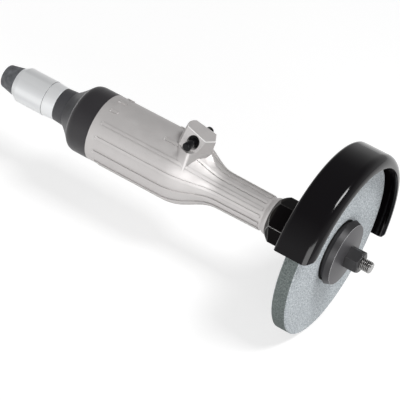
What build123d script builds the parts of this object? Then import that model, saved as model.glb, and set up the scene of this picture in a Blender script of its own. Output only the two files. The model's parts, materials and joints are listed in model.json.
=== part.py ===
"""Air straight grinder: a vane air motor in a ribbed die-cast housing drives a straight spindle
that carries a 150 mm grinding wheel under a half-round guard.

Millimetres. X runs along the spindle, out through the wheel, and x = 0 is the front face of the
clamp nut, where the free end of the spindle thread begins. Z points up through the throttle boss.
Lengths run backwards from the nut, so each station below is the one in front of it less a length.
"""
import math
import os

from build123d import *

# Fits between pieces
FIT = 0.03              # radial gap of a turned piece seated in a bore
RUNNING = 0.05          # radial gap of a piece that turns or slides in another
SIDE_PLAY = 0.10        # gap between flat faces of which one turns
AIR_GAP = 0.6           # least gap round fast parts that never touch
RACE_GAP = 0.06         # gap between the balls and their grooves

# Spindle, wheel and flanges
THREAD_R = 5.0          # M10 spindle thread
THREAD_DEPTH = 0.8
THREAD_ROOT_R = THREAD_R - THREAD_DEPTH  # inside the nut, where its thread fills the spindle's
THREAD_OUT = 8.6        # length of the free end, ahead of the nut
THREAD_CHAMFER = 1.0
SHAFT_STEP = 1.0        # journals over the thread
SHAFT_R = THREAD_R + SHAFT_STEP
SHAFT_MID_STEP = 1.4    # middle of the spindle over its journals
SHAFT_MID_R = SHAFT_R + SHAFT_MID_STEP
NUT_FLATS = 17.0
NUT_T = 12.4
NUT_BEVEL = 1.6         # radial bevel of the nut's front, in heights of a corner over a flat
NUT_TURN = 35.0         # turn of the nut's corners about the spindle
FLANGE_R = 27.8         # outer flange
FLANGE_EDGE = 1.8       # radial taper of its rim
FLANGE_FACE_R = FLANGE_R - FLANGE_EDGE
FLANGE_T = 11.0
FLANGE_CONE = 2.2
FLANGE_RIM_T = 5.2      # rim, behind the coned front
FLANGE_STEP = 3.3       # the ring that bears on the blotter is this much smaller than the rim
FLANGE_SEAT_R = FLANGE_R - FLANGE_STEP
FLANGE_SEAT = 7.5       # radial width of that ring
FLANGE_RECESS_R = FLANGE_SEAT_R - FLANGE_SEAT
FLANGE_RECESS = 1.0
BLOTTER_T = 0.6
BLOTTER_STEP = 1.4      # blotters inside the flange's rim
BLOTTER_R = FLANGE_R - BLOTTER_STEP
WHEEL_R = 75.0
WHEEL_T = 12.7
WHEEL_BORE_R = 8.0
WHEEL_EDGE = 0.8        # small bevel on the wheel's corners
BACK_FLANGE_R = FLANGE_FACE_R
BACK_FLANGE_T = 3.0
HUB_WALL = 2.6
HUB_R = SHAFT_R + HUB_WALL  # rear hub of the back flange, which meets the bearing
PILOT_SETBACK = 1.5     # the back flange's pilot stops this far inside the wheel

# Neck and the hexagonal nose that holds the front bearing
NECK_R = 15.0
NECK_TAPER = 0.5
NECK_FRONT_R = NECK_R - NECK_TAPER
NECK_LENGTH = 46.0
NECK_FLANGE = 1.0       # small flange at the neck's front
NECK_FLANGE_R = NECK_R + NECK_FLANGE
NECK_FLANGE_T = 1.5
NECK_FLARE = 3.0        # length of the sweep out to the flange
NECK_SHAFT_GAP = 2.1
NECK_BORE_R = SHAFT_MID_R + NECK_SHAFT_GAP
NECK_SCREW_STEP = 0.7   # screwed end of the neck, under the neck
NECK_SCREW_R = NECK_R - NECK_SCREW_STEP
NECK_SCREW_LENGTH = 12.0
NOSE_WALL = 2.5         # flats of the nose over the neck
NOSE_FLATS = 2 * (NECK_R + NOSE_WALL)
NOSE_LENGTH = 35.8
NOSE_BEVEL = 1.5        # rear end of the nose, under its flats
NOSE_CHAMFER_R = NOSE_FLATS / 2 - NOSE_BEVEL
NOSE_CHAMFER = 4.5
NOSE_TURN = -9.0        # turn of the hexagon's corners about the spindle
SPIGOT_STEP = 0.5       # guard's spigot over the neck
SPIGOT_R = NECK_R + SPIGOT_STEP
NOSE_FRONT = 5.0        # front wall ahead of the bearing
SEAL_SECTION = 2.4
SEAL_R = HUB_R + SEAL_SECTION
SEAL_T = 2.5
SPACER_WALL = 1.6

# Ball bearings, all on the spindle's and the rotor's journals
BEARING_STEP = 0.3      # large bearings under the neck's screw thread
BEARING_R = NECK_SCREW_R - BEARING_STEP
BEARING_T = 8.0
NECK_WALL = 3.0
NECK_BEARING_R = NECK_R - NECK_WALL
NECK_BEARING_T = 6.0
NECK_BEARING_AHEAD = 1.0  # neck bearing ahead of the front of the shoulder
BALL_COUNT = 8
BALL_SHARE = 0.29       # ball radius as a share of the space between bore and outside
RACE_SHARE = 0.30       # thickness of each race as a share of that space

# Guard
GUARD_SHEET = 2.2
GUARD_GAP = 7.8         # radial gap between the wheel and the drum
GUARD_R = WHEEL_R + GUARD_GAP + GUARD_SHEET
GUARD_AHEAD = 11.1      # guard's front ahead of the wheel's front face
GUARD_FRONT_BEND = 8.0  # outside bend radius at the lip
GUARD_LIP_EDGE = 0.6    # flat of the lip past its bend
GUARD_LIP = GUARD_FRONT_BEND + GUARD_LIP_EDGE
GUARD_TIP = 7.5         # rounded front corners at both ends of the drum
GUARD_REAR_BEND = 0.8   # inside bend radius at the plate
GUARD_SPAN = 177.0      # degrees of drum
GUARD_LEAN = 17.7       # degrees that the guard is turned from straight up, towards +Y
GUARD_EYE = 8.5         # radial width of the full ring round the spigot
GUARD_EYE_R = SPIGOT_R + GUARD_EYE
GUARD_RING_T = 1.8
GUARD_RING_WALL = 5.0
GUARD_RING_R = SPIGOT_R + GUARD_RING_WALL
RING_SLOT = 2.5         # spanner slots in the guard's ring
RING_SLOT_COUNT = 4

# Housing
SHOULDER_LENGTH = 47.0
SHOULDER_REAR_PULL = 0.48    # share of the shoulder that leaves level from the body
SHOULDER_FRONT_PULL = 0.385  # share that runs level into the neck
BODY_R = 29.2
BODY_LENGTH = 71.0
BODY_WALL = 3.8
MOTOR_BORE_R = BODY_R - BODY_WALL
RIB_COUNT = 14
RIB_HEIGHT = 0.8
RIB_ROOT = 2.0          # how far a rib reaches into the wall
RIB_WIDTH = 2.4
RIB_REAR_GAP = 7.0      # bare band behind the ribs
RIB_FRONT_GAP = 6.0     # bare band ahead of them
RIB_RAMP = 0.8          # slope of a rib's ends
PANEL_FRONT = 60.0      # the smooth top panel runs from here to
PANEL_REAR = 15.0       # here, both from the rear of the body
PANEL_RIBS = 1          # ribs parted by the panel on each side of the top one

# Throttle boss and valve
BOSS_RISE = 12.5        # sloped top above the body, at the start of the boss's round rear
BOSS_TOP_R = BODY_R + BOSS_RISE
BOSS_SLOPE = 13.5
BOSS_PEAK = 4.0         # the boss stands this much higher before the slope is cut
BOSS_REAR_BACK = 37.4   # start of the round rear, behind the front of the shoulder
BOSS_REAR_HALF = 9.5
BOSS_BULGE = 8.0        # how far the rear bows out
BOSS_CORNER_BACK = 24.9
BOSS_CORNER_HALF = 12.0
BOSS_NOSE_BACK = 18.9
BOSS_LEDGE_DROP = 13.9  # from the sloped top down to the ledges under the valve's ends
BOSS_LEDGE_R = BOSS_TOP_R - BOSS_LEDGE_DROP
BOSS_LEDGE_REAR_BACK = 39.6
BOSS_LEDGE_REAR_HALF = 17.0
BOSS_LEDGE_BULGE = 10.0
BOSS_LEDGE_CORNER_BACK = 31.6
BOSS_LEDGE_HALF = 19.5
BOSS_LEDGE_NOSE_BACK = 20.1
BOSS_DEPTH = 30.7       # from the sloped top down to the foot, inside the housing
BOSS_FOOT_R = BOSS_TOP_R - BOSS_DEPTH
BOSS_FOOT_REAR_BACK = 39.6
BOSS_FOOT_REAR_HALF = 25.4
BOSS_FOOT_BULGE = 10.0
BOSS_FOOT_CORNER_BACK = 30.1
BOSS_FOOT_HALF = 23.5
BOSS_FOOT_NOSE_BACK = 21.0
FLANK_HALF = 13.3       # flat flanks over the ledges, at the ledges
FLANK_LEAN = 22.7
BOSS_EDGE = 3.0         # rounding of the boss's upright edges under the ledges
BOSS_TOP_EDGE = 0.8     # rounding of its other edges
VALVE_BACK = 33.9       # valve axis behind the front of the shoulder
VALVE_DEPTH = 7.8       # valve axis below the boss's top
VALVE_R = BOSS_TOP_R - VALVE_DEPTH
VALVE_BORE_R = 5.5
VALVE_BUSH_T = 2.0
VALVE_BUSH_OUT = 7.8    # outer faces of the bushes, from the middle of the tool
SPOOL_STEM_STEP = 2.8   # stems of the spool under the valve bore
SPOOL_STEM_R = VALVE_BORE_R - SPOOL_STEM_STEP
SPOOL_LENGTH = 38.0
SPOOL_TRAVEL = 5.0
SPOOL_END_PLAY = 0.25
SPOOL_ROUND = 0.8
SPOOL_WAIST_STEP = 2.0  # air groove round the spool's land
SPOOL_WAIST_R = VALVE_BORE_R - SPOOL_WAIST_STEP
SPOOL_WAIST = 1.6
RING_SECTION_R = 0.6    # spool O-rings
PORT_R = 2.2            # air port from the valve down to the motor

# Air motor
PLATE_T = 9.0
LINER_LENGTH = 55.0
LINER_WALL = 5.1
LINER_BORE_R = MOTOR_BORE_R - LINER_WALL
LINER_OFFSET = 1.6      # liner bore above the spindle axis
ROTOR_GAP = 0.3         # least gap between rotor and liner
ROTOR_R = LINER_BORE_R - LINER_OFFSET - ROTOR_GAP
BLADE_COUNT = 5
BLADE_T = 2.4
BLADE_H = 8.8
SLOT_GAP = 0.05
DRIVE_FLATS = 7.0       # hexagonal end that turns the spindle
DRIVE_DEPTH = 12.0
DRIVE_SOCKET_EXTRA = 2.0
SPINDLE_REAR_OUT = 20.0  # spindle behind its rear bearing
EXHAUST_COUNT = 9
EXHAUST_R = 1.6

# Rear cover, exhaust ring and air inlet
COVER_SPIGOT = 7.0
COVER_SPIGOT_WALL = 7.4
COVER_CHAMBER_R = MOTOR_BORE_R - COVER_SPIGOT_WALL
COVER_WALL = 10.0
RING_LENGTH = 20.7
RING_PROUD = 0.1        # exhaust ring over the body
RING_R = BODY_R + RING_PROUD
RING_WALL = 4.7
RING_BORE_R = RING_R - RING_WALL
RING_SHOULDER = 7.5     # length of the ring's rounded rear
RING_ROUND = 2.8        # radial fall of that rounding
RING_REAR_R = RING_R - RING_ROUND
RING_LEAD = 1.6         # lean of the rounding at the ring's rear edge
CONE_LENGTH = 13.0
CONE_STEP = 0.4         # hollow cone inside the ring's rear edge
CONE_R = RING_REAR_R - CONE_STEP
CONE_EDGE = 0.6         # bevel that leaves a groove between cone and ring
CONE_BEND_X = 0.43      # the hollow cone passes this share of its length
CONE_BEND_R = 0.40      # at this share of its rise
COLLAR_LENGTH = 9.9
COLLAR_R = 15.3
COLLAR_TAPER = 0.8
COLLAR_REAR_R = COLLAR_R - COLLAR_TAPER
BUSH_COLLAR = 11.0
BUSH_STEM_R = 9.5
BUSH_STEM = 20.0
NIPPLE_STEP = 0.5
NIPPLE_R = BUSH_STEM_R + NIPPLE_STEP
NIPPLE_LENGTH = 21.0
NIPPLE_WALL = 3.0
STRAINER_R = NIPPLE_R - NIPPLE_WALL
STRAINER_T = 1.6
STRAINER_SEAT = 3.0
STRAINER_LEDGE = 1.8
AIR_BORE_R = STRAINER_R - STRAINER_LEDGE
STRAINER_HOLES = 6
STRAINER_HOLE_R = 1.1
CAP_NUT_STEP = 0.2      # cap nut over the collar ahead of it
CAP_NUT_R = COLLAR_R + CAP_NUT_STEP
CAP_NUT_LENGTH = 32.0
CAP_NUT_EDGE = 0.4      # small bevel at its front
CAP_NUT_BEVEL = 2.9     # rear end of the cap nut, under its outside
CAP_NUT_REAR_R = CAP_NUT_R - CAP_NUT_BEVEL
CAP_NUT_CHAMFER = 5.0   # length of the rear bevel
CAP_NUT_LIP = 9.0       # rear wall that holds the adapter's flange
ADAPTER_LENGTH = 14.0
ADAPTER_TAPER = 2.9
ADAPTER_END_R = CAP_NUT_REAR_R - ADAPTER_TAPER
ADAPTER_ROUND = 2.5
ADAPTER_FLANGE = 1.0
ADAPTER_NECK_R = NIPPLE_R - ADAPTER_FLANGE
ADAPTER_FLANGE_T = 1.6
ADAPTER_BORE_R = 4.2
INLET_R = 5.72          # tapped air inlet
INLET_DEPTH = 14.0

# Stations along the spindle, from the nut backwards
X_NUT = -NUT_T
X_FLANGE = X_NUT - FLANGE_T
X_WHEEL_FRONT = X_FLANGE - BLOTTER_T
X_WHEEL_REAR = X_WHEEL_FRONT - WHEEL_T
X_BACK_FLANGE = X_WHEEL_REAR - BLOTTER_T
X_BACK_FLANGE_REAR = X_BACK_FLANGE - BACK_FLANGE_T
X_SPIGOT = X_BACK_FLANGE_REAR - AIR_GAP
X_GUARD_FACE = X_SPIGOT - GUARD_RING_T - SIDE_PLAY
X_GUARD_REAR = X_GUARD_FACE - GUARD_SHEET
X_NOSE = X_GUARD_REAR - SIDE_PLAY
X_NOSE_BEARING = X_SPIGOT - NOSE_FRONT
X_NOSE_BEARING_REAR = X_NOSE_BEARING - BEARING_T
X_NECK = X_NOSE - NOSE_LENGTH
X_NECK_SCREW = X_NECK + NECK_SCREW_LENGTH
X_SHOULDER = X_NECK - NECK_LENGTH
X_BODY = X_SHOULDER - SHOULDER_LENGTH
X_BODY_REAR = X_BODY - BODY_LENGTH
X_COVER = X_BODY_REAR + COVER_SPIGOT
X_REAR_PLATE = X_COVER + PLATE_T
X_FRONT_PLATE = X_REAR_PLATE + LINER_LENGTH
X_MOTOR = X_FRONT_PLATE + PLATE_T
X_NECK_BEARING = X_SHOULDER + NECK_BEARING_AHEAD
X_NECK_BEARING_REAR = X_NECK_BEARING - NECK_BEARING_T
X_SPINDLE_REAR = X_NECK_BEARING_REAR - SPINDLE_REAR_OUT
X_RING = X_BODY_REAR - RING_LENGTH
X_CONE = X_RING - CONE_LENGTH
X_COLLAR = X_CONE - COLLAR_LENGTH
X_BUSH = X_COLLAR - BUSH_COLLAR
X_NIPPLE = X_BUSH - NIPPLE_LENGTH
X_CAP_NUT = X_BUSH - CAP_NUT_LENGTH
X_ADAPTER = X_CAP_NUT - ADAPTER_LENGTH
X_VALVE = X_SHOULDER - VALVE_BACK


def turned(*outline):
    """Solid of revolution about X from (x, radius) corners."""
    return revolve(Plane.XZ * make_face(Polyline(*outline, close=True)), Axis.X)


def tube(x0, x1, outer, inner=0.0):
    """Round bar or tube between two stations."""
    return turned((x0, inner), (x1, inner), (x1, outer), (x0, outer))


def hex_bar(x0, x1, flats, turn=0.0):
    """Hexagonal bar between two stations, sized across its flats."""
    corner = flats / math.sqrt(3)
    section = Plane.YZ.offset(min(x0, x1)) * Rot(0, 0, turn) * RegularPolygon(corner, 6)
    return extrude(section, abs(x1 - x0))


def ball_bearing(x_front, outside, width):
    """Outer race, inner race and balls of a deep-groove bearing behind a station."""
    pitch = (SHAFT_R + outside) / 2
    ball = (outside - SHAFT_R) * BALL_SHARE
    land = (outside - SHAFT_R) * RACE_SHARE
    middle = x_front - width / 2
    section = Plane.XZ * Pos(middle, pitch) * Circle(ball + RACE_GAP)
    groove = revolve(section, Axis.X)
    outer = tube(x_front - width, x_front, outside, outside - land) - groove
    inner = tube(x_front - width, x_front, SHAFT_R + land, SHAFT_R + FIT) - groove
    balls = [Rot(360 / BALL_COUNT * k, 0, 0) * Pos(middle, 0, pitch) * Sphere(ball)
             for k in range(BALL_COUNT)]
    return outer, inner, balls


def shoulder_curve(raise_by=0.0):
    """Sweep of the housing from its body down to its neck."""
    body = BODY_R + raise_by
    neck = NECK_R + raise_by
    return Bezier((X_BODY, body), (X_BODY + SHOULDER_REAR_PULL * SHOULDER_LENGTH, body),
                  (X_SHOULDER - SHOULDER_FRONT_PULL * SHOULDER_LENGTH, neck), (X_SHOULDER, neck))


def housing_skin():
    """Outside of the housing as a solid bar."""
    x_flare = X_NECK - NECK_FLANGE_T - NECK_FLARE
    neck = Polyline((X_SHOULDER, NECK_R), (x_flare, NECK_FRONT_R))
    flare = RadiusArc((x_flare, NECK_FRONT_R), (X_NECK - NECK_FLANGE_T, NECK_FLANGE_R), 3 * NECK_FLARE)
    ends = Polyline((X_NECK - NECK_FLANGE_T, NECK_FLANGE_R), (X_NECK, NECK_FLANGE_R), (X_NECK, 0),
                    (X_BODY_REAR, 0), (X_BODY_REAR, BODY_R), (X_BODY, BODY_R))
    return revolve(Plane.XZ * make_face(shoulder_curve() + neck + flare + ends), Axis.X)


def rib(x_rear, x_front):
    """One raised rib that follows the housing's outline between two stations."""
    top = shoulder_curve(RIB_HEIGHT)
    below = shoulder_curve(-RIB_ROOT)
    rear = Polyline((X_BODY, BODY_R - RIB_ROOT), (x_rear, BODY_R - RIB_ROOT), (x_rear, BODY_R),
                    (x_rear + RIB_RAMP, BODY_R + RIB_HEIGHT), (X_BODY, BODY_R + RIB_HEIGHT))
    front = Polyline((X_SHOULDER, NECK_R + RIB_HEIGHT), (x_front - RIB_RAMP, NECK_FRONT_R + RIB_HEIGHT),
                     (x_front, NECK_FRONT_R - RIB_ROOT), (X_SHOULDER, NECK_R - RIB_ROOT))
    return extrude(Plane.XZ * make_face(rear + top + front + below), RIB_WIDTH / 2, both=True)


def panel_gap():
    """Sleeve that parts the upper ribs along the smooth top panel."""
    x0 = X_BODY_REAR + PANEL_REAR
    x1 = X_BODY_REAR + PANEL_FRONT
    low = BODY_R - 2 * RIB_ROOT
    high = BODY_R + 2 * RIB_HEIGHT
    return turned((x0, low), (x1 - RIB_RAMP, low), (x1, high), (x0 - RIB_RAMP, high))


def housing_ribs():
    """All ribs round the housing; the top one and its neighbours stop at the panel."""
    whole = rib(X_BODY_REAR + RIB_REAR_GAP, X_NECK - RIB_FRONT_GAP)
    parted = whole - panel_gap()
    ribs = []
    for k in range(RIB_COUNT):
        upper = min(k, RIB_COUNT - k) <= PANEL_RIBS
        ribs.append(Rot(360 / RIB_COUNT * k, 0, 0) * (parted if upper else whole))
    return ribs


def boss_outline(height, x_rear, half_rear, bulge, x_corner, half_corner, x_nose):
    """Plan of the throttle boss at one height: round rear, straight sides, pointed front."""
    rear = ThreePointArc((x_rear, half_rear), (x_rear - bulge, 0), (x_rear, -half_rear))
    sides = Polyline((x_rear, -half_rear), (x_corner, -half_corner), (x_nose, 0),
                     (x_corner, half_corner), (x_rear, half_rear))
    return Plane.XY.offset(height) * make_face(rear + sides)


def boss_flanks():
    """What is milled off both sides of the boss, above the ledges that lie under the valve's ends."""
    peak = BOSS_TOP_R + BOSS_PEAK
    peak_half = FLANK_HALF - (peak - BOSS_LEDGE_R) * math.tan(math.radians(FLANK_LEAN))
    outside = 2 * BOSS_FOOT_HALF
    side = Polyline((FLANK_HALF, BOSS_LEDGE_R), (outside, BOSS_LEDGE_R), (outside, peak), (peak_half, peak),
                    close=True)
    length = 2 * BOSS_FOOT_REAR_BACK
    cut = extrude(Plane.YZ.offset(X_SHOULDER - length) * make_face(side), length)
    return cut, mirror(cut, Plane.XZ)


def throttle_boss():
    """Cast boss over the shoulder that holds the throttle valve across the tool."""
    x_rear = X_SHOULDER - BOSS_REAR_BACK
    top = boss_outline(BOSS_TOP_R + BOSS_PEAK, x_rear, BOSS_REAR_HALF, BOSS_BULGE,
                       X_SHOULDER - BOSS_CORNER_BACK, BOSS_CORNER_HALF, X_SHOULDER - BOSS_NOSE_BACK)
    ledge = boss_outline(BOSS_LEDGE_R, X_SHOULDER - BOSS_LEDGE_REAR_BACK, BOSS_LEDGE_REAR_HALF,
                         BOSS_LEDGE_BULGE, X_SHOULDER - BOSS_LEDGE_CORNER_BACK, BOSS_LEDGE_HALF,
                         X_SHOULDER - BOSS_LEDGE_NOSE_BACK)
    foot = boss_outline(BOSS_FOOT_R, X_SHOULDER - BOSS_FOOT_REAR_BACK, BOSS_FOOT_REAR_HALF,
                        BOSS_FOOT_BULGE, X_SHOULDER - BOSS_FOOT_CORNER_BACK, BOSS_FOOT_HALF,
                        X_SHOULDER - BOSS_FOOT_NOSE_BACK)
    boss = loft([foot.face(), ledge.face(), top.face()], ruled=True)
    slope = Pos(x_rear, 0, BOSS_TOP_R) * Rot(0, BOSS_SLOPE, 0)
    reach = 4 * BOSS_FOOT_HALF
    boss -= slope * Pos(0, 0, reach / 2) * Box(2 * reach, reach, reach)
    for flank in boss_flanks():
        boss -= flank
    below = boss.edges().filter_by(lambda edge: edge.center().Z < BOSS_LEDGE_R)
    boss = fillet(below.filter_by(lambda edge: edge.bounding_box().size.Z > BOSS_EDGE), BOSS_EDGE)
    above = boss.edges().filter_by(lambda edge: edge.bounding_box().min.Z > BOSS_LEDGE_R + BOSS_TOP_EDGE)
    return fillet(above, BOSS_TOP_EDGE)


def valve_bar(radius, length):
    """Round bar of a given length on the valve's axis, across the tool."""
    return Pos(X_VALVE, 0, VALVE_R) * Rot(90, 0, 0) * Cylinder(radius, length)


def motor_housing():
    """Die-cast housing: ribbed body, shoulder with throttle boss, neck and screwed front end."""
    screw = tube(X_NECK - NECK_FLANGE_T, X_NECK_SCREW, NECK_SCREW_R)
    skin = housing_skin().fuse(throttle_boss(), screw)
    for one_rib in housing_ribs():
        skin += one_rib
    bearing_r = NECK_BEARING_R + FIT
    bore = turned((X_NECK_SCREW, 0), (X_NECK_SCREW, NECK_BORE_R), (X_NECK_BEARING, NECK_BORE_R),
                  (X_NECK_BEARING, bearing_r), (X_MOTOR, bearing_r), (X_MOTOR, MOTOR_BORE_R + FIT),
                  (X_BODY_REAR, MOTOR_BORE_R + FIT), (X_BODY_REAR, 0))
    port = Pos(X_VALVE, 0, VALVE_R / 2) * Cylinder(PORT_R, VALVE_R)
    return skin - bore - valve_bar(VALVE_BORE_R, 2 * BOSS_FOOT_HALF) - port


def throttle_spool():
    """Sliding valve spool, drawn at the end of its travel towards -Y, with its two O-rings."""
    stroke_room = 2 * (VALVE_BUSH_OUT - VALVE_BUSH_T)
    land = stroke_room - SPOOL_TRAVEL - 2 * SPOOL_END_PLAY
    land_r = VALVE_BORE_R - RUNNING
    middle = -SPOOL_TRAVEL / 2
    half = SPOOL_LENGTH / 2
    outline = [(middle - half, 0), (middle - half, SPOOL_STEM_R - SPOOL_ROUND),
               (middle - half + SPOOL_ROUND, SPOOL_STEM_R), (middle - land / 2, SPOOL_STEM_R),
               (middle - land / 2, land_r), (middle - SPOOL_WAIST / 2, land_r),
               (middle - SPOOL_WAIST / 2, SPOOL_WAIST_R), (middle + SPOOL_WAIST / 2, SPOOL_WAIST_R),
               (middle + SPOOL_WAIST / 2, land_r), (middle + land / 2, land_r),
               (middle + land / 2, SPOOL_STEM_R), (middle + half - SPOOL_ROUND, SPOOL_STEM_R),
               (middle + half, SPOOL_STEM_R - SPOOL_ROUND), (middle + half, 0)]
    to_valve = Pos(X_VALVE, 0, VALVE_R) * Rot(0, 0, 90)
    ring_at = (land + SPOOL_WAIST) / 4
    spool = turned(*outline)
    rings = []
    for side in (-1, 1):
        x = middle + side * ring_at
        section = Plane.XZ * Pos(x, land_r - RING_SECTION_R) * Circle(RING_SECTION_R)
        ring = revolve(section, Axis.X)
        groove_r = land_r - 2 * RING_SECTION_R
        spool -= tube(x - RING_SECTION_R, x + RING_SECTION_R, land_r + RUNNING, groove_r)
        rings.append(to_valve * ring)
    return to_valve * spool, rings


def valve_bushes():
    """Screwed bushes at both ends of the valve bore, which stop the spool."""
    outer = VALVE_BUSH_OUT
    bushes = []
    for side in (-1, 1):
        bush = tube(outer - VALVE_BUSH_T, outer, VALVE_BORE_R - FIT, SPOOL_STEM_R + RUNNING)
        bushes.append(Pos(X_VALVE, 0, VALVE_R) * Rot(0, 0, side * 90) * bush)
    return bushes


def spindle():
    """Long spindle: threaded front, bearing journals and a hexagonal socket at the rear."""
    x_step = X_WHEEL_FRONT - PILOT_SETBACK - AIR_GAP
    tip = THREAD_OUT - THREAD_CHAMFER
    bar = turned((THREAD_OUT, 0), (THREAD_OUT, THREAD_R - THREAD_CHAMFER), (tip, THREAD_R), (0, THREAD_R),
                 (0, THREAD_ROOT_R), (X_NUT, THREAD_ROOT_R), (X_NUT, THREAD_R), (x_step, THREAD_R),
                 (x_step, SHAFT_R), (X_NOSE_BEARING_REAR, SHAFT_R), (X_NOSE_BEARING_REAR, SHAFT_MID_R),
                 (X_NECK_BEARING, SHAFT_MID_R), (X_NECK_BEARING, SHAFT_R), (X_SPINDLE_REAR, SHAFT_R),
                 (X_SPINDLE_REAR, 0))
    x_socket = X_SPINDLE_REAR + DRIVE_DEPTH + DRIVE_SOCKET_EXTRA
    return bar - hex_bar(X_SPINDLE_REAR, x_socket, DRIVE_FLATS + 2 * FIT)


def clamp_nut():
    """High hexagon nut with chamfered front corners."""
    corner = NUT_FLATS / math.sqrt(3)
    bevel = corner - NUT_FLATS / 2
    cone = turned((X_NUT, 0), (X_NUT, corner), (-bevel, corner), (0, corner - NUT_BEVEL * bevel), (0, 0))
    return (hex_bar(X_NUT, 0, NUT_FLATS, NUT_TURN) & cone) - tube(X_NUT, 0, THREAD_ROOT_R + FIT)


def outer_flange():
    """Front clamping flange with a coned face, a rim and a ring that bears on the blotter."""
    x_face = X_NUT - FLANGE_CONE
    x_rim = x_face - FLANGE_RIM_T
    bore = THREAD_R + FIT
    return turned((X_NUT, bore), (X_NUT, NUT_FLATS / 2), (x_face, FLANGE_FACE_R), (x_rim, FLANGE_R),
                  (x_rim, FLANGE_SEAT_R), (X_FLANGE, FLANGE_SEAT_R), (X_FLANGE, FLANGE_RECESS_R),
                  (X_FLANGE + FLANGE_RECESS, FLANGE_RECESS_R), (X_FLANGE + FLANGE_RECESS, bore))


def back_flange():
    """Rear clamping flange with the pilot that centres the wheel and the hub that meets the bearing."""
    x_pilot = X_WHEEL_FRONT - PILOT_SETBACK
    bore = SHAFT_R + FIT
    pilot_r = WHEEL_BORE_R - FIT
    return turned((x_pilot, bore), (x_pilot, pilot_r), (X_BACK_FLANGE, pilot_r),
                  (X_BACK_FLANGE, BACK_FLANGE_R), (X_BACK_FLANGE_REAR, BACK_FLANGE_R),
                  (X_BACK_FLANGE_REAR, HUB_R), (X_NOSE_BEARING, HUB_R),
                  (X_NOSE_BEARING, bore))


def grinding_wheel():
    """Straight grinding wheel with lightly bevelled corners."""
    rim = WHEEL_R - WHEEL_EDGE
    return turned((X_WHEEL_REAR, WHEEL_BORE_R), (X_WHEEL_FRONT, WHEEL_BORE_R), (X_WHEEL_FRONT, rim),
                  (X_WHEEL_FRONT - WHEEL_EDGE, WHEEL_R), (X_WHEEL_REAR + WHEEL_EDGE, WHEEL_R),
                  (X_WHEEL_REAR, rim))


def blotters():
    """Paper washers between the wheel and its flanges."""
    return [tube(x, x + BLOTTER_T, BLOTTER_R, WHEEL_BORE_R) for x in (X_WHEEL_FRONT, X_BACK_FLANGE)]


def guard_corner(x_front):
    """Cutter that rounds the front corner at one end of the drum, seen from outside."""
    x = x_front - GUARD_TIP
    depth = 2 * GUARD_LIP
    block = Box(2 * GUARD_TIP, 2 * GUARD_TIP, depth, align=(Align.MIN, Align.MIN, Align.CENTER))
    return Pos(x, -GUARD_TIP, GUARD_R - GUARD_LIP / 2) * (block - Cylinder(GUARD_TIP, depth))


def wheel_guard():
    """Pressed half-round guard: back plate, drum and turned-in front lip from one sheet."""
    x_front = X_WHEEL_FRONT + GUARD_AHEAD
    inner = GUARD_R - GUARD_SHEET
    hole = SPIGOT_R + RUNNING
    lip = GUARD_R - GUARD_LIP
    edge = Polyline((X_GUARD_REAR, hole), (X_GUARD_REAR, GUARD_R), (x_front, GUARD_R), (x_front, lip),
                    (x_front - GUARD_SHEET, lip), (x_front - GUARD_SHEET, inner), (X_GUARD_FACE, inner),
                    (X_GUARD_FACE, hole), close=True)
    section = make_face(edge)
    bends = {(X_GUARD_REAR, GUARD_R): GUARD_REAR_BEND + GUARD_SHEET, (x_front, GUARD_R): GUARD_FRONT_BEND,
             (X_GUARD_FACE, inner): GUARD_REAR_BEND,
             (x_front - GUARD_SHEET, inner): GUARD_FRONT_BEND - GUARD_SHEET}
    for (x, r), radius in bends.items():
        corner = section.vertices().sort_by_distance((x, r, 0))[0]
        section = fillet(corner, radius)
    drum = revolve(Plane.XZ * section, Axis.X, GUARD_SPAN)
    corner = guard_corner(x_front)
    drum -= corner
    drum -= Rot(GUARD_SPAN, 0, 0) * mirror(corner, Plane.XZ)
    drum = Rot(-GUARD_SPAN / 2 - GUARD_LEAN, 0, 0) * drum
    return drum.fuse(tube(X_GUARD_REAR, X_GUARD_FACE, GUARD_EYE_R, hole))


def guard_ring():
    """Screwed ring on the nose spigot that holds the guard's plate, with spanner slots."""
    ring = tube(X_SPIGOT - GUARD_RING_T, X_SPIGOT, GUARD_RING_R, SPIGOT_R + FIT)
    notch = Pos(X_SPIGOT, 0, GUARD_RING_R) * Box(4 * GUARD_RING_T, RING_SLOT, 2 * RING_SLOT)
    for k in range(RING_SLOT_COUNT):
        ring -= Rot(360 / RING_SLOT_COUNT * (k + 0.5), 0, 0) * notch
    return ring


def nose_cap():
    """Hexagonal nose: screwed on the neck, it holds the front bearing and carries the guard."""
    corner = NOSE_FLATS / math.sqrt(3)
    cone = turned((X_NECK, 0), (X_NECK, NOSE_CHAMFER_R), (X_NECK + NOSE_CHAMFER, corner),
                  (X_NOSE, corner), (X_NOSE, 0))
    body = hex_bar(X_NECK, X_NOSE, NOSE_FLATS, NOSE_TURN) & cone
    body = body.fuse(tube(X_NOSE, X_SPIGOT, SPIGOT_R))
    seat = BEARING_R + FIT
    screw = NECK_SCREW_R + FIT
    bore = turned((X_NECK, 0), (X_NECK, screw), (X_NECK_SCREW, screw), (X_NECK_SCREW, seat),
                  (X_NOSE_BEARING, seat), (X_NOSE_BEARING, HUB_R + AIR_GAP),
                  (X_SPIGOT, HUB_R + AIR_GAP), (X_SPIGOT, 0))
    groove = tube(X_NOSE_BEARING + SIDE_PLAY, X_NOSE_BEARING + SIDE_PLAY + SEAL_T, SEAL_R)
    return body - bore - groove


def felt_seal():
    """Felt ring in the nose that keeps grit from the front bearing."""
    x = X_NOSE_BEARING + SIDE_PLAY
    return tube(x, x + SEAL_T, SEAL_R - FIT, HUB_R + RUNNING)


def bearing_spacer():
    """Sleeve between the neck's end and the front bearing's outer race."""
    outside = BEARING_R
    return tube(X_NECK_SCREW, X_NOSE_BEARING_REAR, outside, outside - SPACER_WALL)


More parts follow.
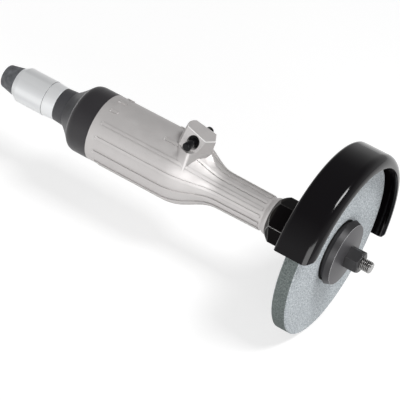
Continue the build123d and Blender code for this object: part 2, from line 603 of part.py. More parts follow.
def motor_plate(x0, x1, seat_front):
    """Motor end plate with its bearing seat open towards the front or the rear."""
    depth = BEARING_T
    plate = tube(x0, x1, MOTOR_BORE_R, SHAFT_R + AIR_GAP)
    s0, s1 = (x1 - depth, x1) if seat_front else (x0, x0 + depth)
    plate -= tube(s0, s1, BEARING_R + FIT)
    for k in range(EXHAUST_COUNT):
        hole = Pos((x0 + x1) / 2, 0, LINER_BORE_R) * Rot(0, 90, 0) * Cylinder(EXHAUST_R, 4 * PLATE_T)
        plate -= Rot(360 / EXHAUST_COUNT * k, 0, 0) * hole
    return plate


def cylinder_liner():
    """Motor cylinder whose bore is set off the spindle axis, so that the blades make chambers."""
    bore = Pos((X_REAR_PLATE + X_FRONT_PLATE) / 2, 0, LINER_OFFSET) * Rot(0, 90, 0)
    bore = bore * Cylinder(LINER_BORE_R, 2 * LINER_LENGTH)
    return tube(X_REAR_PLATE, X_FRONT_PLATE, MOTOR_BORE_R) - bore


def rotor():
    """Slotted rotor with its two journals and the hexagonal drive end."""
    x0 = X_REAR_PLATE + SIDE_PLAY
    x1 = X_FRONT_PLATE - SIDE_PLAY
    x_hex = X_MOTOR + SIDE_PLAY
    body = tube(x0, x1, ROTOR_R).fuse(tube(X_COVER, x_hex, SHAFT_R),
                                      hex_bar(x_hex, X_SPINDLE_REAR + DRIVE_DEPTH, DRIVE_FLATS))
    depth = BLADE_H + SLOT_GAP
    slot = Pos((x0 + x1) / 2, 0, ROTOR_R) * Box(x1 - x0, BLADE_T + 2 * SLOT_GAP, 2 * depth)
    for k in range(BLADE_COUNT):
        body -= Rot(360 / BLADE_COUNT * k, 0, 0) * slot
    return body


def rotor_blades():
    """Sliding blades, drawn seated in the rotor's slots."""
    x0 = X_REAR_PLATE + SIDE_PLAY
    x1 = X_FRONT_PLATE - SIDE_PLAY
    blade = Box(x1 - x0, BLADE_T, BLADE_H - SLOT_GAP)
    blade = Pos((x0 + x1) / 2, 0, ROTOR_R - SLOT_GAP - BLADE_H / 2) * blade
    return [Rot(360 / BLADE_COUNT * k, 0, 0) * blade for k in range(BLADE_COUNT)]


def exhaust_ring():
    """Black ring with a rounded rear shoulder, held between the housing and the cover's cone."""
    x_round = X_RING + RING_SHOULDER
    shoulder = Bezier((X_RING, RING_REAR_R), (X_RING + RING_LEAD, RING_R), (x_round, RING_R))
    rest = Polyline((x_round, RING_R), (X_BODY_REAR, RING_R), (X_BODY_REAR, RING_BORE_R),
                    (X_RING, RING_BORE_R), (X_RING, RING_REAR_R))
    return revolve(Plane.XZ * make_face(shoulder + rest), Axis.X)


def rear_cover():
    """Rear cover: spigot in the housing, air chamber, hollow cone and collar for the inlet bushing."""
    seat = RING_BORE_R - FIT
    bore = BUSH_STEM_R + FIT
    x_wall = X_RING + COVER_WALL
    x_edge = X_RING - CONE_EDGE
    bend = (X_CONE + CONE_BEND_X * CONE_LENGTH, COLLAR_R + CONE_BEND_R * (CONE_R - COLLAR_R))
    cone = ThreePointArc((X_CONE, COLLAR_R), bend, (x_edge, CONE_R))
    rest = Polyline((x_edge, CONE_R), (X_RING, CONE_R - CONE_EDGE), (X_RING, seat), (X_BODY_REAR, seat),
                    (X_BODY_REAR, MOTOR_BORE_R), (X_COVER, MOTOR_BORE_R), (X_COVER, COVER_CHAMBER_R),
                    (x_wall, COVER_CHAMBER_R), (x_wall, bore), (X_COLLAR, bore),
                    (X_COLLAR, COLLAR_REAR_R), (X_CONE, COLLAR_R))
    return revolve(Plane.XZ * make_face(cone + rest), Axis.X)


def inlet_bushing():
    """Plated inlet bushing: stem in the cover, round collar, and the nipple inside the cap nut."""
    x_stem = X_COLLAR + BUSH_STEM
    seat = X_NIPPLE + STRAINER_SEAT
    return turned((x_stem, AIR_BORE_R), (x_stem, BUSH_STEM_R), (X_COLLAR, BUSH_STEM_R),
                  (X_COLLAR, COLLAR_REAR_R), (X_BUSH, COLLAR_R), (X_BUSH, NIPPLE_R), (X_NIPPLE, NIPPLE_R),
                  (X_NIPPLE, STRAINER_R), (seat, STRAINER_R), (seat, AIR_BORE_R))


def inlet_strainer():
    """Perforated strainer disc seated in the nipple."""
    x = X_NIPPLE + STRAINER_SEAT - STRAINER_T
    disc = tube(x, x + STRAINER_T, STRAINER_R - FIT)
    ring = STRAINER_R / 2
    for k in range(STRAINER_HOLES):
        hole = Pos(x, 0, ring) * Rot(0, 90, 0) * Cylinder(STRAINER_HOLE_R, 4 * STRAINER_T)
        disc -= Rot(360 / STRAINER_HOLES * k, 0, 0) * hole
    return disc


def cap_nut():
    """Round cap nut that clamps the hose adapter on the nipple, bevelled at its rear."""
    x_lip = X_CAP_NUT + CAP_NUT_LIP
    bore = NIPPLE_R + FIT
    hole = ADAPTER_NECK_R + FIT
    return turned((X_BUSH, bore), (X_BUSH, CAP_NUT_R - CAP_NUT_EDGE), (X_BUSH - CAP_NUT_EDGE, CAP_NUT_R),
                  (X_CAP_NUT + CAP_NUT_CHAMFER, CAP_NUT_R), (X_CAP_NUT, CAP_NUT_REAR_R), (X_CAP_NUT, hole),
                  (x_lip, hole), (x_lip, bore))


def hose_adapter():
    """Black tapered adapter at the tail with the tapped air inlet."""
    x_lip = X_CAP_NUT + CAP_NUT_LIP
    x_flange = x_lip + ADAPTER_FLANGE_T
    x_round = X_ADAPTER + ADAPTER_ROUND
    x_tapped = X_ADAPTER + INLET_DEPTH
    taper = (CAP_NUT_REAR_R - ADAPTER_END_R) / ADAPTER_LENGTH
    r_round = ADAPTER_END_R + taper * ADAPTER_ROUND
    r_end = r_round - ADAPTER_ROUND
    end = Bezier((X_ADAPTER, r_end), (X_ADAPTER, r_round), (x_round, r_round))
    rest = Polyline((x_round, r_round), (X_CAP_NUT, CAP_NUT_REAR_R), (X_CAP_NUT, ADAPTER_NECK_R),
                    (x_lip, ADAPTER_NECK_R), (x_lip, NIPPLE_R), (x_flange, NIPPLE_R),
                    (x_flange, ADAPTER_BORE_R), (x_tapped, ADAPTER_BORE_R), (x_tapped, INLET_R),
                    (X_ADAPTER, INLET_R), (X_ADAPTER, r_end))
    return revolve(Plane.XZ * make_face(end + rest), Axis.X)


def all_pieces():
    """Every node's name and its solid or group of solids."""
    spool, spool_rings = throttle_spool()
    pieces = {
        "motor_housing": motor_housing(),
        "throttle_spool": spool,
        "spool_o_rings": spool_rings,
        "valve_bushes": valve_bushes(),
        "spindle": spindle(),
        "clamp_nut": clamp_nut(),
        "outer_flange": outer_flange(),
        "back_flange": back_flange(),
        "grinding_wheel": grinding_wheel(),
        "wheel_blotters": blotters(),
        "wheel_guard": wheel_guard(),
        "guard_ring": guard_ring(),
        "nose_cap": nose_cap(),
        "felt_seal": felt_seal(),
        "bearing_spacer": bearing_spacer(),
        "front_end_plate": motor_plate(X_FRONT_PLATE, X_MOTOR, True),
        "rear_end_plate": motor_plate(X_COVER, X_REAR_PLATE, False),
        "cylinder_liner": cylinder_liner(),
        "rotor": rotor(),
        "rotor_blades": rotor_blades(),
        "exhaust_ring": exhaust_ring(),
        "rear_cover": rear_cover(),
        "inlet_bushing": inlet_bushing(),
        "inlet_strainer": inlet_strainer(),
        "cap_nut": cap_nut(),
        "hose_adapter": hose_adapter(),
    }
    bearings = {
        "nose_bearing": (X_NOSE_BEARING, BEARING_R, BEARING_T),
        "neck_bearing": (X_NECK_BEARING, NECK_BEARING_R, NECK_BEARING_T),
        "rotor_front_bearing": (X_MOTOR, BEARING_R, BEARING_T),
        "rotor_rear_bearing": (X_COVER + BEARING_T, BEARING_R, BEARING_T),
    }
    for name, place in bearings.items():
        outer, inner, balls = ball_bearing(*place)
        pieces[name + "_outer_race"] = outer
        pieces[name + "_inner_race"] = inner
        pieces[name + "_balls"] = balls
    return pieces


os.makedirs("parts", exist_ok=True)
for node, shape in all_pieces().items():
    solids = Compound(children=shape) if isinstance(shape, list) else shape
    export_step(solids, f"parts/{node}.step")
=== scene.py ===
"""Studio picture of the air straight grinder: procedural materials on the CAD frame, a cut thread on
the spindle's end, caps on the throttle's ends, and a camera at the photograph's viewing angle.
Metres, in the frame of the CAD model."""
import json
import math

import bmesh
import bpy
from mathutils import Matrix, Vector

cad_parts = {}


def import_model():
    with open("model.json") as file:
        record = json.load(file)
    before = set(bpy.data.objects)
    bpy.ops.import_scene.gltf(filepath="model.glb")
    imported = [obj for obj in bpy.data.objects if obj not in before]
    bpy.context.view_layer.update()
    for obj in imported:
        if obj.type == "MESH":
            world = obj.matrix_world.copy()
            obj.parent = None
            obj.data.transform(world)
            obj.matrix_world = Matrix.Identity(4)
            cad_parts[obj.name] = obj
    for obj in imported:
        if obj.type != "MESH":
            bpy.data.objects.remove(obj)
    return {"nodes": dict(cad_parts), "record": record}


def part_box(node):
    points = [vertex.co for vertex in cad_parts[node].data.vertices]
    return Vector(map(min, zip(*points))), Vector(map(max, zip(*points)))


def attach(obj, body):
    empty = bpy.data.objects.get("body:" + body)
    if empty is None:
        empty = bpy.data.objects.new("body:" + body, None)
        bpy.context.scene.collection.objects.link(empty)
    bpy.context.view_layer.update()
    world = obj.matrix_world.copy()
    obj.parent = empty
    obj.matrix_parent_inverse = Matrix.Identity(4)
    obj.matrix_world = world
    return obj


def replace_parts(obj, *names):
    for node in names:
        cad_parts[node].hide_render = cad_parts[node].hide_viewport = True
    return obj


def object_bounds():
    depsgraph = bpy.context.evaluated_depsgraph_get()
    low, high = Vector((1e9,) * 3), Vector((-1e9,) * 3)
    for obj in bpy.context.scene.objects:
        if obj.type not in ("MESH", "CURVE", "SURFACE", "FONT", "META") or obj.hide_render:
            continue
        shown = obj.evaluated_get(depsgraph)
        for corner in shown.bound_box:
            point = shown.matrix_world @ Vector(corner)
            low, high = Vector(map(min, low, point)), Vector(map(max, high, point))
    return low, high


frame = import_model()
cad_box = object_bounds()
nodes = frame["nodes"]
MM = 0.001

# Zones of the casting's painted glints and painted shade, each as its two ends: rib ends and panel end
# along X from the exhaust ring's front, the neck, with more painted shade, along X from the housing's
# front, and heights along Z
RIB_ENDS = (7.0 * MM, 8.8 * MM)
PANEL_END = (59.2 * MM, 61.4 * MM)
PANEL_HEIGHTS = (22.0 * MM, 40.0 * MM)
BOSS_HEIGHTS = (30.3 * MM, 45.0 * MM)
NECK = (-75.0 * MM, 0.0)
# Rounded edges of the boss that get a painted highlight: the way each one faces, and how squarely a
# surface faces it where the edge's painted bright line starts and where it is full
BOSS_EDGES = (
    ((0.14, 0.555, 0.82), 0.85, 0.89),
    ((0.70, 0.45, 0.55), 0.90, 0.94),
    ((0.52, 0.84, 0.16), 0.85, 0.89),
)
# Zones of the black and plated pieces, several of them painted highlights or painted reflections: along
# X from the exhaust ring's rear, the sleeve's front, the nose's rear and the flange's front, and heights
# along Z where the nose's edges get a painted highlight
COVER_LINE = (-1.1 * MM, 1.0 * MM)
SLEEVE_SEAM = (-0.35 * MM, 1.0 * MM)
NOSE_BAND = (0.0, 4.0 * MM)
NOSE_BAND_BELOW = (0.0, 4.5 * MM)
NOSE_LINE = (4.3 * MM, 4.8 * MM)
NOSE_HIGHLIGHT_HEIGHTS = (5.0 * MM, 12.0 * MM)
FLANGE_FRONT = (-3.0 * MM, 0.0)

# How far from an edge a rounding or a painted highlight reaches, how far painted shade reaches out of a
# corner, and how softly a zone ends
FINE_EDGE = 0.35 * MM
BRIGHT_EDGE = 0.8 * MM
NOSE_EDGE = 1.2 * MM
RIB_CORNER = 2.2 * MM
THREAD_CORNER = 1.2 * MM
SOFT_END = 0.15 * MM
# Rays that look for edges and for corners at each point
EDGE_SAMPLES = 6
CORNER_SAMPLES = 16

# Thread on the spindle's free end. The crest's flat ends and the root's flat starts at these shares of
# half a pitch from the middle of the crest
THREAD_RADIUS = 5.0 * MM
THREAD_DEPTH = 0.8 * MM
THREAD_PITCH = 1.5 * MM
THREAD_BEVEL = 1.0 * MM
CREST_END = 0.18
ROOT_START = 0.88
FREE_END_START = -0.01 * MM
THREAD_STEPS = 96
THREAD_ROWS = 112

# Caps on the throttle spool's ends. The bore is a hair wider than the spool's stem
BUTTON_RADIUS = 3.6 * MM
BUTTON_LENGTH = 7.5 * MM
BUTTON_BORE = 2.71 * MM
BUTTON_COVER = 0.3 * MM
BUTTON_ROUNDING = 1.3 * MM
BUTTON_BEVEL = 0.4 * MM
ROUNDING_STEPS = 4
BUTTON_STEPS = 64

# Meshes: corners closer than this are one, and edges that turn by more than this are sharp
MERGE = 0.001 * MM
SHARP_TURN = math.radians(35)

# Stage: the floor's depth under the tool, its reach, its greys and its glow, and the heights between
# which the sky fades from one strength to another
FLOOR_GAP = 0.5 * MM
FLOOR_REACH = 6.0
FLOOR_GREYS = ((0.46, 0.46, 0.46), (0.48, 0.48, 0.48))
FLOOR_GLOW = 0.66
SKY_FADE = (0.25, 0.75)
SKY_STRENGTH = (0.55, 0.18)
# Lamps: place, target, width, height and power. The near one is aimed at the body's shoulder
LAMPS = {
    "key": ((0.67, -0.11, 1.77), (0.0, 0.0, 0.0), 0.80, 0.42, 21.0),
    "near": ((0.80, -1.85, 0.40), (-0.15, -0.02, 0.01), 1.8, 1.0, 24.5),
}
# Camera, above the tool, ahead of its tip and on its near side. Lens and sensor are in millimetres
CAMERA_PLACE = (0.3874, -1.2498, 0.8557)
CAMERA_RIGHT = (0.83253, 0.50896, 0.21879)
CAMERA_UP = (-0.44468, 0.37843, 0.81184)
LENS = 180.0
SENSOR = 36.0


# Shader building blocks

def new_material(name):
    """Empty node material with a Principled surface."""
    mat = bpy.data.materials.new(name)
    mat.use_nodes = True
    return mat, mat.node_tree, mat.node_tree.nodes["Principled BSDF"]


def put(tree, socket, value):
    """Links a socket to another, or sets its number or colour."""
    if isinstance(value, bpy.types.NodeSocket):
        tree.links.new(value, socket)
    elif socket.type == "RGBA":
        socket.default_value = (*value, 1.0)
    else:
        socket.default_value = value


def set_inputs(tree, node, **inputs):
    """Sets or links some of a node's input sockets."""
    for key, value in inputs.items():
        put(tree, node.inputs[key.replace("_", " ")], value)


def add(tree, kind, **inputs):
    """New node with some of its input sockets set or linked."""
    node = tree.nodes.new(kind)
    set_inputs(tree, node, **inputs)
    return node


def combined(tree, kind, operation, first, second):
    """Two values or vectors put through an operation of a maths node."""
    node = tree.nodes.new(kind)
    node.operation = operation
    put(tree, node.inputs[0], first)
    put(tree, node.inputs[1], second)
    return node


def maths(tree, operation, first, second):
    """Sum or the like of two values."""
    return combined(tree, "ShaderNodeMath", operation, first, second).outputs[0]


def product(tree, first, second):
    """Product of two values."""
    return maths(tree, "MULTIPLY", first, second)


def alike(tree, first, second):
    """How alike two directions are, from 1 down to -1."""
    return combined(tree, "ShaderNodeVectorMath", "DOT_PRODUCT", first, second).outputs["Value"]


def part_along(tree, vector, axis):
    """Part of a vector along one axis."""
    return add(tree, "ShaderNodeSeparateXYZ", Vector=vector).outputs[axis]


def position(tree):
    """Rest position on the piece, so that the pattern rides with it."""
    return tree.nodes.new("ShaderNodeTexCoord").outputs["Object"]


def normal(tree):
    """Direction that the surface faces."""
    return tree.nodes.new("ShaderNodeNewGeometry").outputs["Normal"]


def stretched(tree, scale):
    """Rest position scaled along each axis."""
    return add(tree, "ShaderNodeMapping", Vector=position(tree), Scale=scale).outputs["Vector"]


def noise(tree, vector, scale, detail=3.0):
    """Noise value between 0 and 1."""
    return add(tree, "ShaderNodeTexNoise", Vector=vector, Scale=scale, Detail=detail).outputs["Fac"]


def span(tree, value, source, target):
    """Value mapped from one range to another, held at its ends."""
    node = add(tree, "ShaderNodeMapRange", Value=value, From_Min=source[0], From_Max=source[1],
               To_Min=target[0], To_Max=target[1])
    return node.outputs["Result"]


def blend_colors(tree, factor, first, second):
    """Colour between two others."""
    node = tree.nodes.new("ShaderNodeMix")
    node.data_type = "RGBA"
    put(tree, node.inputs["Factor"], factor)
    colors = [s for s in node.inputs if s.type == "RGBA"]
    put(tree, colors[0], first)
    put(tree, colors[1], second)
    return [s for s in node.outputs if s.type == "RGBA"][0]


def rounded_normal(tree, radius):
    """Surface normal with edges rounded over a radius."""
    node = add(tree, "ShaderNodeBevel", Radius=radius)
    node.samples = EDGE_SAMPLES
    return node.outputs["Normal"]


def on_edges(tree, radius):
    """Value that is 0 on flats and 1 on sharp outer edges."""
    flatness = alike(tree, normal(tree), rounded_normal(tree, radius))
    return span(tree, flatness, (0.88, 0.99), (1.0, 0.0))


def in_corners(tree, reach):
    """Value that is 0 in the open and 1 deep in inner corners."""
    node = add(tree, "ShaderNodeAmbientOcclusion", Distance=reach)
    node.samples = CORNER_SAMPLES
    node.only_local = True
    return span(tree, node.outputs["AO"], (0.55, 0.95), (1.0, 0.0))


def in_zone(tree, zone, face=0.0, axis="X"):
    """Value that is 1 between a zone's ends, measured from a face along an axis, and 0 elsewhere."""
    along = part_along(tree, position(tree), axis)
    start, end = (face + distance for distance in zone)
    after = span(tree, along, (start - SOFT_END, start + SOFT_END), (0.0, 1.0))
    before = span(tree, along, (end - SOFT_END, end + SOFT_END), (1.0, 0.0))
    return product(tree, after, before)


def relief(tree, surface, height, strength, distance, radius):
    """Fine relief on a surface whose edges look rounded."""
    node = add(tree, "ShaderNodeBump", Height=height, Strength=strength, Distance=distance,
               Normal=rounded_normal(tree, radius))
    put(tree, surface.inputs["Normal"], node.outputs["Normal"])


def uneven(tree, rough, scale):
    """Roughness that wanders by a tenth either way in broad patches."""
    patches = noise(tree, position(tree), scale)
    return span(tree, patches, (0.3, 0.7), (rough * 0.9, rough * 1.1))


def turning_marks(tree):
    """Fine rings about the spindle's axis."""
    return noise(tree, stretched(tree, (1.0, 0.02, 0.02)), scale=1600, detail=2.0)


def scaled(color, share):
    """Colour made darker or lighter, up to white."""
    return tuple(min(1.0, c * share) for c in color)


def touched(mat, where, color):
    """Blends another colour over a material's own where a value is 1."""
    tree = mat.node_tree
    socket = tree.nodes["Principled BSDF"].inputs["Base Color"]
    put(tree, socket, blend_colors(tree, where, socket.links[0].from_socket, color))
    return mat


# Materials

def finish(name, color, rough, metallic=0.0, grain=900, spread=0.06, depth=0.05, edge=FINE_EDGE,
           specular=0.5, edge_highlight=None):
    """Fine-grained finish with softly rounded edges, which may get a painted highlight in another colour
    along them.
    """
    mat, tree, surface = new_material(name)
    fine = noise(tree, position(tree), grain)
    tint = blend_colors(tree, fine, scaled(color, 1 - spread), scaled(color, 1 + spread))
    set_inputs(tree, surface, Base_Color=tint, Metallic=metallic, Specular_IOR_Level=specular,
               Roughness=uneven(tree, rough, scale=grain / 12))
    relief(tree, surface, fine, strength=depth, distance=0.1 * MM, radius=edge)
    if edge_highlight:
        # Painted highlight: a lighter colour along the sharp edges
        touched(mat, on_edges(tree, edge), edge_highlight)
    return mat


def turned(name, color, rough, metallic=1.0, spread=0.10, depth=0.04):
    """Lathe-turned metal."""
    mat, tree, surface = new_material(name)
    rings = turning_marks(tree)
    tint = blend_colors(tree, rings, scaled(color, 1 - spread), color)
    set_inputs(tree, surface, Base_Color=tint, Metallic=metallic,
               Roughness=uneven(tree, rough, scale=120))
    relief(tree, surface, rings, strength=depth, distance=0.05 * MM, radius=FINE_EDGE)
    return mat


def plating(name):
    """Bright plated metal with no turning marks to feel."""
    return turned(name, (0.92, 0.93, 0.94), metallic=0.47, rough=0.34, spread=0.02, depth=0.0)


def abrasive():
    """Bonded abrasive: pale speckled face and a darker rim."""
    mat, tree, surface = new_material("abrasive")
    grains = noise(tree, position(tree), scale=800, detail=2.0)
    speckle = span(tree, grains, (0.36, 0.64), (0.0, 1.0))
    sideways = maths(tree, "ABSOLUTE", part_along(tree, normal(tree), "X"), 0.0)
    rim = span(tree, sideways, (0.3, 0.8), (1.0, 0.0))
    face_color = blend_colors(tree, speckle, (0.36, 0.40, 0.43), (0.76, 0.80, 0.825))
    rim_color = blend_colors(tree, speckle, (0.110, 0.132, 0.128), (0.215, 0.240, 0.235))
    set_inputs(tree, surface, Base_Color=blend_colors(tree, rim, face_color, rim_color), Roughness=0.9,
               Specular_IOR_Level=0.25)
    relief(tree, surface, grains, strength=0.5, distance=0.4 * MM, radius=0.3 * MM)
    return mat


def cast_aluminium():
    """Bead-blasted casting with painted shade in the corners along its ribs, stronger on the neck, and
    painted highlights on rib ends and boss edges.
    """
    mat = finish("cast_aluminium", (0.635, 0.614, 0.607), metallic=0.66, rough=0.56, grain=1400,
                 spread=0.04, edge=0.15 * MM)
    tree = mat.node_tree
    # Painted shade: a darker colour in the inner corners along the ribs, stronger on the neck
    on_neck = in_zone(tree, NECK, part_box("motor_housing")[1][0])
    share = span(tree, on_neck, (0.0, 1.0), (0.3, 0.7))
    touched(mat, product(tree, in_corners(tree, RIB_CORNER), share), (0.36, 0.35, 0.34))
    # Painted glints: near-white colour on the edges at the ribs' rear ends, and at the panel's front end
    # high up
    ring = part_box("exhaust_ring")[1][0]
    panel_end = product(tree, in_zone(tree, PANEL_END, ring), in_zone(tree, PANEL_HEIGHTS, axis="Z"))
    ends = maths(tree, "ADD", in_zone(tree, RIB_ENDS, ring), panel_end)
    touched(mat, product(tree, on_edges(tree, BRIGHT_EDGE), ends), (1.0, 0.99, 0.98))
    # Painted highlights on the boss's rounded edges, where a surface faces one of the listed directions
    on_boss = in_zone(tree, BOSS_HEIGHTS, axis="Z")
    for side in (-1, 1):
        for (x, y, z), start, full in BOSS_EDGES:
            squareness = alike(tree, normal(tree), (x, side * y, z))
            edge = product(tree, span(tree, squareness, (start, full), (0.0, 1.0)), on_boss)
            touched(mat, edge, (0.97, 0.96, 0.95))
    return mat


def thread_steel():
    """Bright steel with painted shade in the roots of the thread."""
    mat = turned("spindle_steel", (0.44, 0.435, 0.43), rough=0.34)
    # Painted shade: darker colour in the roots of the thread
    return touched(mat, in_corners(mat.node_tree, THREAD_CORNER), (0.14, 0.135, 0.13))


def cover_polymer():
    """Black cover with a painted highlight line along the edge that meets the ring."""
    mat = finish("cover_polymer", (0.052, 0.052, 0.057), rough=0.42, spread=0.15)
    # Painted highlight: a pale line along the edge that meets the ring
    line = in_zone(mat.node_tree, COVER_LINE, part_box("exhaust_ring")[0][0])
    return touched(mat, line, (0.36, 0.355, 0.36))


def sleeve_plating():
    """Plated sleeve with painted reflection bands along its length and a dark seam at its front edge."""
    mat = plating("sleeve_plating")
    tree = mat.node_tree
    # Painted reflection: darker lengthwise bands over the plating
    bands = noise(tree, stretched(tree, (0.02, 1.0, 1.0)), scale=85, detail=1.0)
    touched(mat, span(tree, bands, (0.42, 0.58), (0.0, 0.70)), (0.70, 0.71, 0.72))
    seam = in_zone(tree, SLEEVE_SEAM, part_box("cap_nut")[1][0])
    return touched(mat, seam, (0.16, 0.16, 0.165))


def black_nose():
    """Black-oxide nose with a bare machined rear end, a painted reflection and a painted highlight line
    on the lower side of that end, and a painted highlight along its edges, strongest low down.
    """
    mat = finish("black_nose", (0.0060, 0.0052, 0.0056), rough=0.36, edge=NOSE_EDGE, specular=0.012)
    tree = mat.node_tree
    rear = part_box("nose_cap")[0][0]
    below = span(tree, part_along(tree, normal(tree), "Z"), (-0.2, 0.2), (1.0, 0.0))
    touched(mat, in_zone(tree, NOSE_BAND, rear), (0.020, 0.018, 0.017))
    # Painted reflection: the rear end is lighter on its downward-facing side
    touched(mat, product(tree, in_zone(tree, NOSE_BAND_BELOW, rear), below), (0.055, 0.054, 0.053))
    # Painted highlight: a bright line near the rear end, on the downward-facing side only
    touched(mat, product(tree, in_zone(tree, NOSE_LINE, rear), below), (0.16, 0.157, 0.155))
    bevel = span(tree, part_along(tree, normal(tree), "X"), (-0.45, -0.25), (1.0, 0.0))
    touched(mat, bevel, (0.11, 0.107, 0.104))
    # Painted highlight along the edges, full low down and faint higher up
    low_edge_highlight = span(tree, part_along(tree, position(tree), "Z"), NOSE_HIGHLIGHT_HEIGHTS, (1.0, 0.12))
    return touched(mat, product(tree, on_edges(tree, NOSE_EDGE), low_edge_highlight), (0.72, 0.71, 0.70))


def flange_steel():
    """Blackened flange with painted shade on its rim and a painted highlight on its front edge."""
    mat, tree, surface = new_material("flange_steel")
    # Painted shade: faces that don't face forward, the rim, are darker than the front face
    rim = span(tree, part_along(tree, normal(tree), "X"), (0.80, 0.95), (1.0, 0.0))
    tint = blend_colors(tree, rim, (0.078, 0.076, 0.081), (0.030, 0.029, 0.031))
    set_inputs(tree, surface, Base_Color=tint, Metallic=0.35, Roughness=0.45)
    relief(tree, surface, turning_marks(tree), strength=0.04, distance=0.05 * MM, radius=0.5 * MM)
    # Painted highlight along the front edge
    front = in_zone(tree, FLANGE_FRONT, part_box("outer_flange")[1][0])
    return touched(mat, product(tree, on_edges(tree, BRIGHT_EDGE), front), (0.55, 0.55, 0.56))


MATERIALS = {
    "cast_aluminium": cast_aluminium(),
    "steel": turned("steel", (0.62, 0.61, 0.60), rough=0.30),
    "plated_steel": plating("plated_steel"),
    "blackened_steel": turned("blackened_steel", (0.035, 0.034, 0.034), rough=0.34, metallic=0.3),
    "bearing_steel": turned("bearing_steel", (0.66, 0.66, 0.66), rough=0.15),
    "cast_iron": finish("cast_iron", (0.16, 0.16, 0.16), rough=0.55, metallic=0.6, spread=0.15),
    "brass": turned("brass", (0.70, 0.52, 0.24), rough=0.30),
    "black_rubber": finish("black_rubber", (0.025, 0.025, 0.025), rough=0.65, spread=0.15),
    "black_paint": finish("black_paint", (0.0026, 0.0020, 0.0028), rough=0.12, depth=0.01, edge=0.3 * MM,
                          specular=0.33),
    "abrasive": abrasive(),
    "blotter_paper": finish("blotter_paper", (0.012, 0.012, 0.012), rough=0.80, spread=0.20,
                            specular=0.2),
    "felt": finish("felt", (0.30, 0.29, 0.27), rough=0.95, spread=0.20),
    "blade_resin": finish("blade_resin", (0.25, 0.15, 0.08), rough=0.50, spread=0.15),
}
# Pieces of a slot that the photograph shows in a shade of their own
SHADES = {
    "nose_cap": black_nose(),
    "outer_flange": flange_steel(),
    "cap_nut": sleeve_plating(),
    # The clamp nut gets a painted highlight along its edges
    "clamp_nut": finish("nut_steel", (0.045, 0.044, 0.046), rough=0.38, metallic=0.5,
                        edge_highlight=(0.16, 0.16, 0.16)),
    "exhaust_ring": finish("ring_polymer", (0.026, 0.024, 0.027), rough=0.36, spread=0.15),
    "rear_cover": cover_polymer(),
    "hose_adapter": finish("adapter_polymer", (0.115, 0.119, 0.127), rough=0.5, grain=260, spread=0.8),
    "throttle_spool": finish("spool_steel", (0.006, 0.006, 0.007), rough=0.14, specular=0.2),
    # Painted shade: the bushes in the throttle bore are near black, darker than their blackened-steel
    # slot
    "valve_bushes": finish("bush_steel", (0.006, 0.006, 0.006), rough=0.50, specular=0.2),
    "spindle": thread_steel(),
}


def dress(obj, node, slot):
    """Gives a piece the material of a node, or else of its slot."""
    obj.data.materials.clear()
    obj.data.materials.append(SHADES[node] if node in SHADES else MATERIALS[slot])


for part in frame["record"]["subparts"]:
    dress(nodes[part["node"]], part["node"], part["material_slot"])


# Pieces of the scene's own

def new_object(name, data):
    """Object in the scene for a mesh, lamp or camera."""
    obj = bpy.data.objects.new(name, data)
    bpy.context.scene.collection.objects.link(obj)
    return obj


def as_piece(build, name, node, slot, body):
    """Closed mesh as a piece that looks like a node and rides on its body."""
    bmesh.ops.recalc_face_normals(build, faces=build.faces[:])
    for face in build.faces:
        face.smooth = True
    for edge in build.edges:
        edge.smooth = edge.calc_face_angle(0.0) < SHARP_TURN
    data = bpy.data.meshes.new(name)
    build.to_mesh(data)
    build.free()
    obj = new_object(name, data)
    dress(obj, node, slot)
    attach(obj, body)
    return obj


def thread_radius(x, turn, tip):
    """Radius of the thread at a place along the spindle and a share of a turn, bevelled at the tip."""
    from_crest = 2 * abs((x / THREAD_PITCH - turn) % 1.0 - 0.5)
    height = min(1.0, max(0.0, (ROOT_START - from_crest) / (ROOT_START - CREST_END)))
    flank = THREAD_RADIUS - THREAD_DEPTH * (1 - height)
    bevelled = THREAD_RADIUS - max(0.0, x - (tip - THREAD_BEVEL))
    return min(flank, bevelled)


def thread_ring(build, x, tip):
    """Corners of the thread's outline at a place along the spindle."""
    ring = []
    for step in range(THREAD_STEPS):
        turn = step / THREAD_STEPS
        angle = 2 * math.pi * turn
        radius = thread_radius(x, turn, tip)
        ring.append(build.verts.new((x, radius * math.cos(angle), radius * math.sin(angle))))
    return ring


def threaded_spindle():
    """The spindle as the CAD has it, with a helical thread in place of its plain free end."""
    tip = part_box("spindle")[1][0]
    build = bmesh.new()
    build.from_mesh(nodes["spindle"].data)
    bmesh.ops.remove_doubles(build, verts=build.verts[:], dist=MERGE)
    plain_end = [f for f in build.faces if min(v.co.x for v in f.verts) > FREE_END_START]
    bmesh.ops.delete(build, geom=plain_end, context="FACES")
    rings = [thread_ring(build, tip * row / THREAD_ROWS, tip) for row in range(THREAD_ROWS + 1)]
    for lower, upper in zip(rings, rings[1:]):
        for k in range(THREAD_STEPS):
            after = (k + 1) % THREAD_STEPS
            build.faces.new((lower[k], lower[after], upper[after], upper[k]))
    build.faces.new(rings[-1])
    bmesh.ops.bridge_loops(build, edges=[e for e in build.edges if e.is_boundary])
    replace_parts(as_piece(build, "threaded_spindle", "spindle", "steel", "spindle"), "spindle")


def button_section():
    """Half section of a cap over a stem's end: distance from its outer face, and radius."""
    section = [(0.0, 0.0)]
    for step in range(ROUNDING_STEPS + 1):
        angle = math.radians(90) * step / ROUNDING_STEPS
        along = BUTTON_ROUNDING * (1 - math.cos(angle))
        section.append((along, BUTTON_RADIUS - BUTTON_ROUNDING * (1 - math.sin(angle))))
    section.append((BUTTON_LENGTH - BUTTON_BEVEL, BUTTON_RADIUS))
    section.append((BUTTON_LENGTH, BUTTON_RADIUS - BUTTON_BEVEL))
    section.append((BUTTON_LENGTH, BUTTON_BORE))
    section.append((BUTTON_COVER, BUTTON_BORE))
    section.append((BUTTON_COVER, 0.0))
    return section


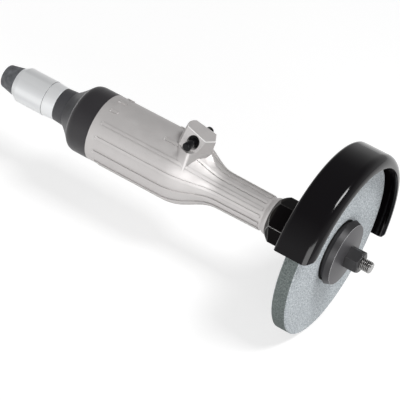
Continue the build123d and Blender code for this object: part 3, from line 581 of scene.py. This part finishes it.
def throttle_buttons():
    """Round caps on both ends of the throttle spool, which the thumb pushes."""
    low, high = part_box("throttle_spool")
    x = (low[0] + high[0]) / 2
    z = (low[2] + high[2]) / 2
    for name, end, inward in (("throttle_button_near", low[1], 1), ("throttle_button_far", high[1], -1)):
        build = bmesh.new()
        points = []
        for along, radius in button_section():
            points.append(build.verts.new((x, end + inward * (along - BUTTON_COVER), z + radius)))
        outline = [build.edges.new(pair) for pair in zip(points, points[1:])]
        bmesh.ops.spin(build, geom=points + outline, cent=(x, 0.0, z), axis=(0.0, 1.0, 0.0),
                       angle=2 * math.pi, steps=BUTTON_STEPS)
        bmesh.ops.remove_doubles(build, verts=build.verts[:], dist=MERGE)
        as_piece(build, name, "throttle_spool", "blackened_steel", "throttle")


threaded_spindle()
throttle_buttons()


# Stage, light and camera

def soft_light(name, place, target, width, height, power):
    """Rectangular soft box aimed at a point."""
    data = bpy.data.lights.new(name, "AREA")
    data.shape = "RECTANGLE"
    data.size = width
    data.size_y = height
    data.energy = power
    lamp = new_object(name, data)
    lamp.location = place
    lamp.rotation_euler = (Vector(target) - Vector(place)).to_track_quat("-Z", "Y").to_euler()


def floor_material():
    """Pale floor that shows nearly white and still takes the tool's shadow."""
    mat, tree, surface = new_material("floor")
    tint = blend_colors(tree, noise(tree, position(tree), scale=3), *FLOOR_GREYS)
    ray = tree.nodes.new("ShaderNodeLightPath").outputs
    seen = maths(tree, "ADD", ray["Is Camera Ray"], ray["Is Glossy Ray"])
    seen = maths(tree, "ADD", seen, ray["Is Transmission Ray"])
    seen = maths(tree, "MINIMUM", seen, 1.0)
    set_inputs(tree, surface, Base_Color=tint, Roughness=0.9, Specular_IOR_Level=0.0,
               Emission_Color=(1.0, 1.0, 1.0), Emission_Strength=product(tree, seen, FLOOR_GLOW))
    return mat


def floor():
    """Wide floor under the tool's lowest point."""
    z = cad_box[0][2] - FLOOR_GAP
    corners = [(x * FLOOR_REACH, y * FLOOR_REACH, z) for x, y in ((-1, -1), (1, -1), (1, 1), (-1, 1))]
    data = bpy.data.meshes.new("floor")
    data.from_pydata(corners, [], [(0, 1, 2, 3)])
    data.materials.append(floor_material())
    new_object("floor", data)


def world():
    """Pale surroundings that darken overhead."""
    scene_world = bpy.data.worlds.new("studio")
    scene_world.use_nodes = True
    tree = scene_world.node_tree
    height = part_along(tree, tree.nodes.new("ShaderNodeTexCoord").outputs["Generated"], "Z")
    set_inputs(tree, tree.nodes["Background"], Color=(1.0, 1.0, 1.0),
               Strength=span(tree, height, SKY_FADE, SKY_STRENGTH))
    bpy.context.scene.world = scene_world


def camera():
    """Camera at the photograph's place and angle."""
    data = bpy.data.cameras.new("camera")
    data.lens = LENS
    data.sensor_width = SENSOR
    right = Vector(CAMERA_RIGHT)
    up = Vector(CAMERA_UP)
    turn = Matrix((right, up, right.cross(up))).transposed().to_4x4()
    obj = new_object("camera", data)
    obj.matrix_world = Matrix.Translation(CAMERA_PLACE) @ turn
    bpy.context.scene.camera = obj


floor()
world()
for lamp_name, settings in LAMPS.items():
    soft_light(lamp_name, *settings)
camera()
bpy.context.scene.view_settings.view_transform = "Standard"
